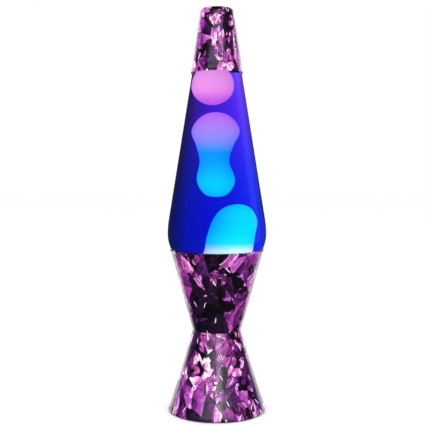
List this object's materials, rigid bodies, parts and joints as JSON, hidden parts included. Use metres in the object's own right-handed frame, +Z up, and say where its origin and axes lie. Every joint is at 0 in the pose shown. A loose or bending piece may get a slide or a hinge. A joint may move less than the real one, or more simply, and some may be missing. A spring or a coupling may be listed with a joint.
{
  "type": "lava lamp",
  "caption": "Tabletop lava lamp: an hourglass spun-metal base holding a lamp bulb, a tapered glass bottle of dyed liquid with floating wax, and a lift-off cone cap.",
  "frame": {"origin": "on the resting surface under the rubber feet, at the lamp's centre line", "axes": "+Z up along the lamp's centre line, +Y towards the back where the cord bushing is, +X to the right seen from the front"},
  "size_m": [0.091, 0.091, 0.368],
  "materials": {
    "printed_aluminium": "spun sheet under a glossy amethyst-crystal print",
    "rubber": "soft moulded black rubber",
    "black_plastic": "moulded, fine matt grain",
    "zinc_steel": "zinc plated",
    "brass": "pressed and tumbled",
    "porcelain": "glazed ceramic",
    "bulb_glass": "clear blown glass",
    "nickel_shell": "rolled and nickel plated",
    "black_glass": "fused black glass",
    "solder": "dull solder",
    "tungsten": "drawn wire",
    "bottle_glass": "clear pressed bottle glass",
    "dyed_liquid": "clear blue dyed liquid",
    "wax_blue": "soft molten wax, lit from below",
    "wax_violet_blue": "soft molten wax, violet above and blue below",
    "wax_pink": "soft molten wax",
    "spring_steel": "drawn spring wire",
    "crown_tinplate": "lacquered tinplate",
    "liner_plastic": "soft plastic disc"
  },
  "bodies": {
    "base": {"base_skirt": "printed_aluminium", "base_cup": "printed_aluminium", "cord_bushing": "rubber", "bottom_cover": "black_plastic", "rubber_foot_1": "rubber", "rubber_foot_2": "rubber", "rubber_foot_3": "rubber", "rubber_foot_4": "rubber", "holder_bracket": "zinc_steel", "bracket_screw_1": "zinc_steel", "bracket_screw_2": "zinc_steel", "bracket_nut_1": "zinc_steel", "bracket_nut_2": "zinc_steel", "terminal_screw_1": "brass", "terminal_screw_2": "brass", "lampholder_body": "porcelain", "lampholder_shell": "brass", "lampholder_contact": "brass", "lampholder_nipple": "zinc_steel", "nipple_washer": "zinc_steel", "nipple_nut": "zinc_steel"},
    "bulb_carrier": {"bulb_glass": "bulb_glass"},
    "bulb": {"bulb_shell": "nickel_shell", "bulb_insulator": "black_glass", "bulb_tip": "solder", "bulb_stem": "bulb_glass", "filament_support_1": "nickel_shell", "filament_support_2": "nickel_shell", "filament": "tungsten"},
    "globe": {"bottle": "bottle_glass", "liquid": "dyed_liquid", "wax_mound": "wax_blue", "heat_coil": "spring_steel", "crown_closure": "crown_tinplate", "closure_liner": "liner_plastic"},
    "wax_middle": {"wax_blob_middle": "wax_violet_blue"},
    "wax_top": {"wax_blob_top": "wax_pink"},
    "cap": {"cap": "printed_aluminium"}
  },
  "joints": [
    {"name": "globe_lift", "type": "slide", "parent": "base", "child": "globe", "axis": [0, 0, 1], "range_m": [0, 0.05]},
    {"name": "cap_lift", "type": "slide", "parent": "globe", "child": "cap", "axis": [0, 0, 1], "range_m": [0, 0.05]},
    {"name": "bulb_rise", "type": "slide", "parent": "base", "child": "bulb_carrier", "axis": [0, 0, 1], "range_m": [0, 0.00846]},
    {"name": "bulb_turn", "type": "hinge", "parent": "bulb_carrier", "child": "bulb", "pos_m": [0, 0, 0.0869], "axis": [0, 0, 1], "range_deg": [0, 1080]},
    {"name": "wax_middle_drift", "type": "slide", "parent": "globe", "child": "wax_middle", "axis": [0, 0, 1], "range_m": [-0.005, 0.005], "deforming": ["liquid"]},
    {"name": "wax_top_drift", "type": "slide", "parent": "globe", "child": "wax_top", "axis": [0, 0, 1], "range_m": [-0.005, 0.003], "deforming": ["liquid"]}
  ],
  "couplings": [
    {"joint": "bulb_turn", "follows": "bulb_rise", "rad_per_m": 2228.1}
  ]
}
